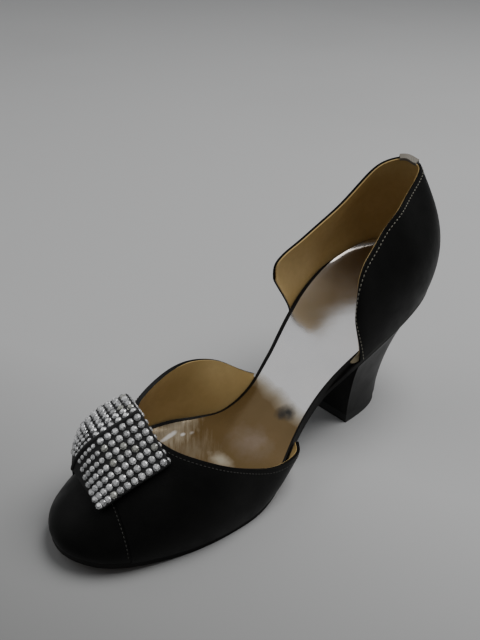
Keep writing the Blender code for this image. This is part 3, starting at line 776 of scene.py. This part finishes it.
def insock_leather():
    """Silver foil leather, brown under the forefoot and the heel where it is rubbed and as a painted
    reflection of the tan lining, with painted highlights and a painted reflection among its pale marks, and
    with dark marks.
    """
    n = Nodes("insock_leather")
    where = n.where()
    flat = n.vector("MULTIPLY", where, (1.0, 1.0, 0.0))
    skew = n.math("MULTIPLY", n.axis("X"), 0.13)
    place = n.math("ADD", n.math("ADD", n.axis("Y"), skew), n.swing(n.noise(55.0), 0.008))
    # Brown under the forefoot and over the heel seat: foil rubbed off, and a painted reflection of the tan
    # lining.
    front = n.ramp(place, 0.0145, 0.0065)
    wear_and_painted_reflection = n.math("MAXIMUM", front, n.ramp(place, 0.062, 0.08, 0.0, 0.55))
    ragged = n.swing(n.noise(230.0, 4.0), 0.9)
    across = n.vector("DOT_PRODUCT", where, RIPPLE_ACROSS, "Value")
    ahead = (-RIPPLE_ACROSS[1] / RIPPLE_STRETCH, RIPPLE_ACROSS[0] / RIPPLE_STRETCH, 0.0)
    along = n.vector("DOT_PRODUCT", where, ahead, "Value")
    rippled = n.add("ShaderNodeCombineXYZ", {"X": across, "Y": along}).outputs["Vector"]
    ripple = n.swing(n.noise(620.0, 3.0, 0.6, rippled), 1.6)
    # Silver left bare where the brown is taken away: under the rippled marks, and under the bare silver marks
    # as a painted highlight.
    for marks, edge in ((RIPPLED_MARKS, ripple), (BARE_SILVER_HIGHLIGHT_MARKS, ragged)):
        for mark in marks:
            wear_and_painted_reflection = n.math("SUBTRACT", wear_and_painted_reflection, n.mark(flat, mark, edge))
    silver = n.mix(n.cloud(24.0, 2.0), (0.67, 0.67, 0.68), (0.73, 0.715, 0.705))
    # Silver warmed under the forefoot, also part of the painted reflection of the tan lining.
    silver = n.mix(front, silver, (0.66, 0.60, 0.46))
    brown = n.mix(n.cloud(30.0), (0.145, 0.092, 0.036), (0.205, 0.137, 0.060))
    base = n.mix(n.ramp(wear_and_painted_reflection, 0.0, 1.0), silver, brown)
    # Laid over the colour: pinkish grey clouds as a painted reflection, white marks as painted highlights,
    # then the dark marks.
    for marks, colour in ((PAINTED_REFLECTION_MARKS, (0.52, 0.45, 0.44)), (PAINTED_HIGHLIGHT_MARKS, (1.0, 1.0, 0.98)),
                          (DARK_MARKS, (0.03, 0.03, 0.03))):
        for mark in marks:
            base = n.mix(n.mark(flat, mark, ragged), base, colour)
    n.set(Base_Color=base, Metallic=n.ramp(front, 0.0, 1.0, 0.95, 0.3), Specular_IOR_Level=0.25)
    n.set(Roughness=n.cloud(80.0, 3.0, 0.16, 0.26))
    soft = n.bump(n.noise(55.0), 0.0008, 0.2)
    return n.set(Normal=n.bump(n.noise(900.0), 0.00004, 0.3, soft))


def sole_leather():
    """Inked dark edge, paler grey over the heel seat as a painted highlight, with a plain brown leather face
    underneath.
    """
    n = Nodes("sole_leather")
    facing = n.add("ShaderNodeNewGeometry").outputs["Normal"]
    below = n.ramp(n.axis("Z", facing), -0.86, -0.97)
    # The edge is paler grey over the heel seat: a painted highlight where the seat edge catches the light.
    edge = n.mix(n.ramp(n.axis("Y"), 0.035, 0.05), (0.005, 0.0045, 0.004), (0.05, 0.05, 0.047))
    scuff = n.ramp(n.noise(240.0, 6.0, 0.7), 0.5, 0.75, 0.0, 0.6)
    under = n.mix(n.cloud(55.0, 5.0), (0.16, 0.095, 0.05), (0.24, 0.15, 0.085))
    under = n.mix(scuff, under, (0.09, 0.06, 0.04))
    n.set(Base_Color=n.mix(below, edge, under), Roughness=n.ramp(below, 0.0, 1.0, 0.5, 0.68))
    return n.set(Specular_IOR_Level=0.15, Normal=n.bump(n.noise(500.0, 4.0), 0.0001, 0.4))


def heel_leather():
    """Covered heel: duller than the upper, with pale rubbed patches."""
    n = Nodes("heel_leather")
    cloud = n.ramp(n.noise(48.0, 5.0, 0.6), 0.35, 0.7)
    upright = n.vector("MULTIPLY", n.where(), (1.0, 1.0, 0.22))
    streak = n.ramp(n.noise(210.0, 6.0, 0.65, upright), 0.48, 0.78, 0.0, 0.6)
    base = n.mix(cloud, (0.007, 0.007, 0.0065), (0.014, 0.014, 0.013))
    n.set(Base_Color=n.mix(streak, base, (0.030, 0.029, 0.027)))
    n.set(Roughness=n.ramp(cloud, 0.0, 1.0, 0.36, 0.52), Specular_IOR_Level=0.2)
    pores = n.bump(n.cells(1700.0), 0.00005, 0.4)
    return n.set(Normal=n.bump(n.noise(300.0, 5.0), 0.00014, 0.4, pores))


def heel_rubber():
    n = Nodes("heel_rubber")
    n.set(Base_Color=n.mix(n.noise(220.0, 4.0), (0.010, 0.010, 0.010), (0.03, 0.03, 0.029)))
    return n.set(Roughness=0.72, Normal=n.bump(n.noise(900.0), 0.00012, 0.5))


def woven(name, low, high, pitch, depth, roughness):
    """Plain weave with its threads along two directions."""
    n = Nodes(name)
    turn = 2 * np.pi / (pitch * MM)
    warp, weft = (n.math("SINE", n.math("MULTIPLY", n.axis(axis), turn)) for axis in "XZ")
    weave = n.math("MULTIPLY", warp, weft)
    n.set(Base_Color=n.mix(n.ramp(weave, -1.0, 1.0), low, high))
    return n.set(Roughness=roughness, Normal=n.bump(weave, depth * MM, 0.6))


def thread(name, low, high):
    n = Nodes(name)
    return n.set(Base_Color=n.mix(n.noise(900.0), low, high), Roughness=0.7)


def stone_glass():
    """Foil-backed cut stones: each facet's colour carries its own painted brightness, a painted glint
    standing in for the light it throws back.
    """
    n = Nodes("stone_glass")
    n.set(Base_Color=n.add("ShaderNodeVertexColor", layer_name="facet").outputs["Color"])
    return n.set(Metallic=0.3, Roughness=0.12, Coat_Weight=1.0, Coat_Roughness=0.03)


UPPER = black_leather("upper_leather", (0.0022, 0.0022, 0.0019), (0.0046, 0.0046, 0.0041), 0.40, 0.52, 0.14)
WRAP = black_leather("insole_cover", (0.004, 0.0037, 0.0034), (0.009, 0.008, 0.007), 0.42, 0.55, 0.16)
LINING = lining_leather()
INSOCK = insock_leather()
SOLE = sole_leather()
HEEL = heel_leather()
RUBBER = heel_rubber()
TAPE = woven("back_tape", (0.13, 0.115, 0.09), (0.24, 0.215, 0.175), 0.5, 0.05, 0.6)
FABRIC = woven("bow_fabric", (0.005, 0.005, 0.005), (0.02, 0.02, 0.02), 0.45, 0.08, 0.75)
PALE_THREAD = thread("pale_thread", (0.13, 0.12, 0.095), (0.30, 0.285, 0.23))
DARK_THREAD = thread("dark_thread", (0.018, 0.017, 0.014), (0.048, 0.046, 0.040))
STONES = stone_glass()
CREAM = cream_leather()


def make_lining(name, outer, outward, drop):
    """Lining behind the leather, with its topline a little lower."""
    faces = [lowered(inner_face(outer, outward, depth), drop) for depth in (LEATHER_THICK + LAYER_GAP, WALL)]
    make_piece(name, *shell(*faces), LINING, "lining_leather", edge=LINING_EDGE)


def make_forepart():
    """Vamp and toe cap in black leather, thicker where it is folded over, with one lining behind both."""
    outer = vamp_surface()
    outward = grid_normals(outer)
    fold = np.interp(vamp_places(), *zip(*VAMP_FOLD))
    length = lengths(outer)
    folded = np.clip((fold[:, None] - (length[:, -1:] - length)) / FOLD_RAMP, 0, 1)
    middle = inner_face(outer, outward, LEATHER_THICK + (WALL + FOLD_COVER - LEATHER_THICK) * folded)
    vamp = make_piece("vamp_leather", *shell(outer, middle), UPPER, "upper_leather", ["vamp"])
    trim_at_seam(vamp, CAP_SEAM_Y + GAP / 2, keep_front=False)
    round_edges(vamp, LEATHER_EDGE)
    cap_face = outer - outward * CAP_STEP
    cap = make_piece("toe_cap_leather", *shell(cap_face, middle), UPPER, "upper_leather", ["toe_cap"])
    trim_at_seam(cap, CAP_SEAM_Y + CAP_UNDERLAP, keep_front=True)
    round_edges(cap, LEATHER_EDGE / 2)
    make_lining("forepart_lining", outer, outward, fold / 2)
    return outer, outward


def make_counter():
    """Back quarter in black leather and its lining."""
    outer = counter_surface(COUNTER_STEPS)
    outward = grid_normals(outer)
    middle = inner_face(outer, outward, LEATHER_THICK)
    make_piece("counter_leather", *shell(outer, middle), UPPER, "upper_leather", ["counter"], LEATHER_EDGE)
    make_lining("counter_lining", outer, outward, COUNTER_LINING_DROP)
    return outer, outward


def make_corner():
    """Cream corner of the lining that stands ahead of the counter's near front edge, against the insole."""
    share = np.linspace(0, 1, CORNER_STEPS[0] + 1)
    y = COUNTER_RIBS[0].sole_y + CORNER_BEHIND - CORNER_REACH * share
    high = footbed(y) - INSOCK_THICK / 2 + CORNER_TOP * (1 - share)
    low = footbed(y) - INSOCK_THICK - CORNER_FALL * (1 - share ** 2)
    levels = [low + (high - low) * up for up in np.linspace(0, 1, CORNER_STEPS[1] + 1)]
    faces = []
    for offset in CORNER_LAYERS:
        points, _ = plan(station(y), offset)
        faces.append(np.stack([at_height(points, level) for level in levels], axis=1))
    make_piece("counter_lining_corner", *shell(*faces), CREAM, "lining_leather", edge=LINING_EDGE)


def lengths(path):
    """Distance of each point of a path from its start, or of a grid's points along each of its rows."""
    steps = np.linalg.norm(np.diff(path, axis=-2), axis=-1)
    return np.concatenate([np.zeros((*steps.shape[:-1], 1)), np.cumsum(steps, axis=-1)], axis=-1)


def at_length(path, length, wanted):
    """Points of a path at some distances from its start."""
    return np.stack([np.interp(wanted, length, path[:, k]) for k in range(3)], axis=-1)


def lowered(grid, drop):
    """A grid with its topline pulled down along the ribs, by no more than a share of each."""
    result = np.empty_like(grid)
    for i, (length, fall) in enumerate(zip(lengths(grid), np.broadcast_to(drop, len(grid)))):
        wanted = length * (1 - fall / max(length[-1], fall / LOWERED_MOST))
        result[i] = at_length(grid[i], length, wanted)
    return result


def sole_reach(y, side):
    behind_tread = np.clip((y - TREAD_NARROWS_Y) / (TREAD_FLUSH_Y - TREAD_NARROWS_Y), 0, 1)
    ahead_of_seat = np.clip((SEAT_FULL_Y - y) / (SEAT_FULL_Y - SEAT_WIDENS_Y), 0, 1)
    return (GAP + WALL - TREAD_INSET) * (1 - np.minimum(behind_tread, ahead_of_seat) ** 2)


def turned_up(grid, turned, inset=None):
    """Rise of a layer toward its side edges, over a stretch of its length."""
    y = grid[..., 1]
    stretch = np.clip((y - turned.first) / turned.run, 0, 1) * np.clip((turned.last - y) / turned.run, 0, 1)
    rise = np.zeros(grid.shape[:2])
    for side, edge, share in ((FAR, grid[:, :1], turned.inner), (NEAR, grid[:, -1:], turned.outer)):
        away = np.linalg.norm(grid - edge, axis=2) + (inset(y, side) if inset else 0.0)
        rise += share * np.clip(1 - away / turned.width, 0, 1) ** 2
    return turned.rise * stretch ** 2 * (3 - 2 * stretch) * rise


def insock_inset(y, side):
    """How far the insock stays inside the edge of the insole board, more on the inner side."""
    return INSOCK_INSET + (side == FAR) * np.interp(y, *zip(*INNER_EXTRA))


def rim_rise(grid):
    """Rise of the wrapped border of the insole board, nearly flush with the insock inside it."""
    share = np.zeros(grid.shape[:2])
    for side, edge in ((FAR, grid[:, :1]), (NEAR, grid[:, -1:])):
        away = np.linalg.norm(grid - edge, axis=2)
        width = insock_inset(grid[..., 1], side)
        share = np.maximum(share, np.clip((width + RIM_SLOPE - away) / RIM_SLOPE, 0, 1))
    return (INSOCK_THICK - RIM_BELOW) * share


def make_bottom():
    """Insock, insole board, outsole, heel and its top piece."""
    grids = layer_grids(lambda y, side: -insock_inset(y, side), 0.0, INSOCK_THICK)
    for grid in grids:
        turns = [turned_up(grid, turned, insock_inset) for turned in FOOTBED_TURNS]
        grid[..., 2] += sum(turns) + turned_up(grid, SEAT_CURL)
    make_piece("insock_cover", *shell(*grids), INSOCK, "insock_leather", ["insock"], INSOCK_EDGE)

    lower, upper = layer_grids(lambda y, side: 0.0, INSOCK_THICK, SOLE_DROP)
    upper[..., 2] += sum(turned_up(upper, turned) for turned in FOOTBED_TURNS) + rim_rise(upper)
    make_piece("insole_board", *shell(lower, upper), WRAP, "insole_cover", ["insole"], BOARD_EDGE)

    grids = layer_grids(sole_reach, SOLE_DROP, SOLE_DROP + OUTSOLE_THICK)
    make_piece("outsole_leather", *shell(*grids), SOLE, "sole_leather", ["outsole"], SOLE_EDGE)
    round_heel_edges(make_piece("heel_cover", *heel_block(), HEEL, "heel_cover", ["heel_block"]))
    make_piece("heel_rubber", *heel_top_piece(), RUBBER, "heel_rubber", ["heel_top_piece"], RUBBER_EDGE)


def tube(path, radius, sides):
    """Round thread along a path with closed ends."""
    radius = np.broadcast_to(radius, len(path))[:, None, None]
    along = unit(np.gradient(path, axis=0))
    side = unit(np.cross(along, THREAD_ASIDE))
    up = np.cross(along, side)
    turn = np.linspace(0, 2 * np.pi, sides, endpoint=False)
    ring = np.cos(turn)[None, :, None] * side[:, None] + np.sin(turn)[None, :, None] * up[:, None]
    points = (path[:, None] + radius * ring).reshape(-1, 3)
    ends = [list(range(sides))[::-1], list(range(len(points) - sides, len(points)))]
    return points, ring_faces(len(path), sides) + ends


def join_parts(parts):
    """One list of points and faces from several."""
    points, faces, base = [], [], 0
    for part_points, part_faces in parts:
        points.append(part_points)
        faces.extend([k + base for k in face] for face in part_faces)
        base += len(part_points)
    return np.concatenate(points), faces


def stitches(path, outward, stitch):
    """Row of stitches along a path on a surface: each dips into the leather at both ends."""
    run = lengths(path)
    count = round((run[-1] + stitch.space) / (stitch.length + stitch.space))
    rise = stitch.radius * np.array(STITCH_RISE)[:, None]
    parts = []
    for start in np.linspace(0, run[-1] - stitch.length, count):
        at = np.linspace(start, start + stitch.length, len(rise))
        line, lift = at_length(path, run, at), at_length(outward, run, at)
        parts.append(tube(line + lift * rise, stitch.radius, THREAD_SIDES))
    return parts


def line_after_start(grid, outward):
    """Path on a surface, the stitch margin in from the start of each row that is long enough."""
    path, lift = [], []
    for row, normals in zip(grid, outward):
        run = lengths(row)
        if run[-1] >= STITCH_MARGIN * STITCH_ROOM:
            path.append(at_length(row, run, STITCH_MARGIN))
            lift.append(at_length(normals, run, STITCH_MARGIN))
    return np.asarray(path), np.asarray(lift)


def line_below_top(grid, outward):
    return line_after_start(grid[:, ::-1], outward[:, ::-1])


def line_beside_front(grid, outward):
    """Path up a surface beside its first rib, ending the stitch margin below the topline."""
    path, lift = line_after_start(grid.swapaxes(0, 1), outward.swapaxes(0, 1))
    keep = len(path) - 1 - int(np.searchsorted(lengths(path[::-1])[1:], STITCH_MARGIN))
    return path[:keep], lift[:keep]


def line_at_seam(grid, outward, y):
    """Path on a surface where the skewed plane of the toe seam crosses it."""
    level = grid[..., 1] + CAP_SEAM_SKEW * grid[..., 0] - y
    path, lift = [], []
    for rib, normal, height in zip(grid, outward, level):
        cross = np.nonzero((height[:-1] < 0) & (height[1:] >= 0))[0]
        if len(cross) == 0:
            continue
        k = cross[0]
        share = -height[k] / (height[k + 1] - height[k])
        path.append(rib[k] + share * (rib[k + 1] - rib[k]))
        lift.append(normal[k])
    return np.asarray(path), np.asarray(lift)


def make_stitching(forepart, counter):
    """Rows below the vamp's topline and beside the toe seam, and one row round the counter."""
    face, outward = forepart
    seam = line_at_seam(face - outward * CAP_STEP, outward, CAP_SEAM_Y - SEAM_MARGIN)
    parts = stitches(*line_below_top(*forepart), FORE_STITCH) + stitches(*seam, FORE_STITCH)
    make_piece("forepart_stitching", *join_parts(parts), DARK_THREAD, "thread")
    near, top = line_beside_front(*counter), line_below_top(*counter)
    far = line_beside_front(*(grid[::-1] for grid in counter))
    skip = max(2, int(np.searchsorted(lengths(top[0])[1:], STITCH_MARGIN)))
    row = [np.concatenate([a, b[skip:-skip], c[::-1]]) for a, b, c in zip(near, top, far)]
    make_piece("counter_stitching", *join_parts(stitches(*row, COUNTER_STITCH)), PALE_THREAD, "thread")


def stone(spot, normal, spin, radius):
    """Round cut stone: a table, two rows of facets and a girdle."""
    side = unit(np.cross(normal, STONE_ASIDE))
    up = np.cross(normal, side)
    points, faces = [], []
    for ring in STONE_RINGS:
        for k in range(STONE_SIDES):
            angle = spin + 2 * np.pi * (k + ring.half_step) / STONE_SIDES
            flat = radius * ring.share * (np.cos(angle) * side + np.sin(angle) * up)
            points.append(spot + flat + normal * radius * ring.height)
    corners = np.arange(len(points)).reshape(-1, STONE_SIDES)
    for a, b in zip(corners.T, np.roll(corners, -1, axis=1).T):
        faces += [[a[0], b[0], b[1], a[1]], [a[1], b[1], a[2]], [a[2], b[1], b[2]], [a[2], b[2], b[3]],
                  [a[3], a[2], b[3]]]
    return np.asarray(points), [*faces, list(corners[-1])]


def sample(grid, along, down):
    """Point of a grid at two shares, between its nearest corners."""
    i, j = along * (grid.shape[0] - 1), down * (grid.shape[1] - 1)
    i0, j0 = min(int(i), grid.shape[0] - 2), min(int(j), grid.shape[1] - 2)
    u, v = i - i0, j - j0
    return ((1 - u) * (1 - v) * grid[i0, j0] + u * (1 - v) * grid[i0 + 1, j0]
            + (1 - u) * v * grid[i0, j0 + 1] + u * v * grid[i0 + 1, j0 + 1])


def stone_place(column, down):
    """Share along a wing of a stone's column: the columns close up toward the front beside the ridge."""
    ahead = max(column - FULL_PITCH_COLUMNS, 0)
    steps = column - ahead * RIDGE_CLOSENESS * (1 - down) ** RIDGE_CLOSENESS_POWER
    return 1 - (STONE_REAR_MARGIN + steps * STONE_PITCH) / BOW_LENGTH


def make_ridge():
    """Rolled fold of the fabric along the ridge between the wings."""
    along = np.linspace(0, 1, BOW_STEPS[0] + 1)
    path = bow_line(BOW_RIDGE, along[:, None], BOW_CREST) - BOW_CREST * RIDGE_SINK
    ends = np.clip(np.minimum(along, 1 - along) * BOW_LENGTH / RIDGE_ROLL, RIDGE_TIP, 1)
    radius = RIDGE_ROLL * np.sqrt(1 - (1 - ends) ** 2)
    make_piece("bow_ridge_fabric", *tube(path, radius, RIDGE_SIDES), FABRIC, "bow_fabric")


def make_bow(vamp):
    """Both wings of the bow in black fabric, each set with rows of stones."""
    make_ridge()
    chance = np.random.default_rng(CHANCE_SEED)
    for name, edge in (("outer", BOW_OUTER_EDGE), ("inner", BOW_INNER_EDGE)):
        top, under = bow_wing(edge, vamp)
        make_piece("bow_%s_fabric" % name, *shell(top, under), FABRIC, "bow_fabric",
                   ["bow_%s_wing" % name], BOW_EDGE)
        normals = grid_normals(top)
        normals = normals * np.sign(np.sum(normals * bow_face(edge), axis=-1, keepdims=True))
        parts, tints = [], []

        def set_stone(spot, normal, radius):
            parts.append(stone(spot, normal, chance.uniform(0, np.pi), radius))
            tints.append(chance.uniform(*STONE_TINTS))

        for column in range(STONE_COLUMNS):
            for row in range(STONE_ROWS):
                down = (row + edge.first_row) / (STONE_ROWS + SPARE_ROW)
                along = stone_place(column, down)
                pitch = (along - stone_place(column + 1, down)) * BOW_LENGTH
                normal = unit(sample(normals, along, down) + chance.normal(0, STONE_TILT, 3))
                set_stone(sample(top, along, down), normal, min(STONE_RADIUS, pitch * STONE_SHARE))
        rear = unit(top[-1] - top[-2])
        for row in range(STONE_ROWS):
            down = (row + 0.5) / STONE_ROWS
            low, high = sample(under, 1.0, down), sample(top, 1.0, down)
            spot = high * REAR_STONE_HEIGHT + low * (1 - REAR_STONE_HEIGHT)
            set_stone(spot, rear[int(down * BOW_STEPS[1])], REAR_STONE_RADIUS)
        piece = make_piece("bow_%s_stones" % name, *join_parts(parts), STONES, "bow_stones")
        paint_facet_glints(piece, tints, chance)


def paint_facet_glints(piece, tints, chance):
    """Painted brightness for each facet of each stone: a painted highlight on the table, a dark girdle and
    painted glints on the crown, with a few warm stones.
    """
    mesh = piece.data
    mesh.shade_flat()
    layer = mesh.color_attributes.new("facet", "FLOAT_COLOR", "CORNER")
    per_stone = len(mesh.polygons) // len(tints)
    for index, face in enumerate(mesh.polygons):
        tint, facet = tints[index // per_stone], index % per_stone
        if facet == per_stone - 1:
            painted_glint = min(TABLE_GAIN * tint ** TABLE_POWER, 1.0)
        elif facet % FACETS_A_SIDE == 0:
            painted_glint = GIRDLE_BRIGHT * tint
        else:
            painted_glint = tint * chance.uniform(*CROWN_BRIGHT)
        warm = WARM_BLUE if tint < WARM_TINT else 1.0
        for loop in face.loop_indices:
            layer.data[loop].color = (painted_glint, painted_glint, painted_glint * warm, 1.0)


forepart = make_forepart()
counter = make_counter()
make_corner()
make_bottom()
make_piece("back_tape", *back_tab(), TAPE, "back_tape", ["back_tab"], TAPE_EDGE)
make_stitching(forepart, counter)
make_bow(forepart[0])

# Camera of the photograph, in the coordinates of the last
CAMERA_SPOT = (226.3, -118.8, 272.7)
CAMERA_RIGHT = (0.6843, 0.7288, 0.0252)
CAMERA_UP = (-0.3955, 0.3419, 0.8524)
CAMERA_AHEAD = (-0.6126, 0.5933, -0.5222)
CAMERA_LENS = 45.8

# Painted shade on the floor: where it is darkest and where it is palest, in metres toward the heel, how much
# that turns with the distance sideways, and half the floor's width
FLOOR_PAINTED_SHADE = (-0.2, 0.01)
FLOOR_SHADE_SKEW = 0.35
FLOOR_HALF = 4.0


def make_camera():
    data = bpy.data.cameras.new("camera")
    data.lens = CAMERA_LENS
    data.clip_start = 0.01
    camera = add_object("camera", data)
    turn = Matrix((CAMERA_RIGHT, CAMERA_UP, -Vector(CAMERA_AHEAD))).transposed().to_4x4()
    camera.matrix_world = Matrix.Translation(in_frame(CAMERA_SPOT)) @ turn
    bpy.context.scene.camera = camera


def make_floor():
    n = Nodes("pale_floor")
    # Painted shade: the floor is darker toward the front, where less light reaches it, with a random tone
    # over it.
    away = n.math("SUBTRACT", n.axis("Y"), n.math("MULTIPLY", n.axis("X"), FLOOR_SHADE_SKEW))
    share = n.math("ADD", n.ramp(away, *FLOOR_PAINTED_SHADE), n.swing(n.noise(3.0), 0.3))
    n.set(Base_Color=n.mix(share, (0.21, 0.21, 0.206), (0.53, 0.53, 0.527)), Roughness=0.9)
    mesh = bpy.data.meshes.new("floor")
    corners = [(FLOOR_HALF * x, FLOOR_HALF * y, 0) for x, y in ((-1, -1), (1, -1), (1, 1), (-1, 1))]
    mesh.from_pydata(corners, [], [(0, 1, 2, 3)])
    mesh.materials.append(n.material)
    floor = add_object("floor", mesh)


def make_light(name, spot, target, size, power):
    data = bpy.data.lights.new(name, "AREA")
    data.shape = "DISK"
    data.size = size
    data.energy = power
    light = add_object(name, data)
    light.location = spot
    light.rotation_euler = (Vector(target) - Vector(spot)).to_track_quat("-Z", "Y").to_euler()


def make_world():
    world = bpy.data.worlds.new("studio")
    world.use_nodes = True
    sky = world.node_tree.nodes["Background"]
    sky.inputs["Color"].default_value = (0.93, 0.96, 1.0, 1.0)
    sky.inputs["Strength"].default_value = 0.15
    bpy.context.scene.world = world


make_camera()
make_floor()
make_world()
make_light("overhead", (0.25, 0.55, 1.25), (0.05, 0.12, 0.0), 1.1, 15.0)
make_light("wall", (-1.05, -0.62, 1.15), (0, 0, 0.05), 1.9, 5.0)
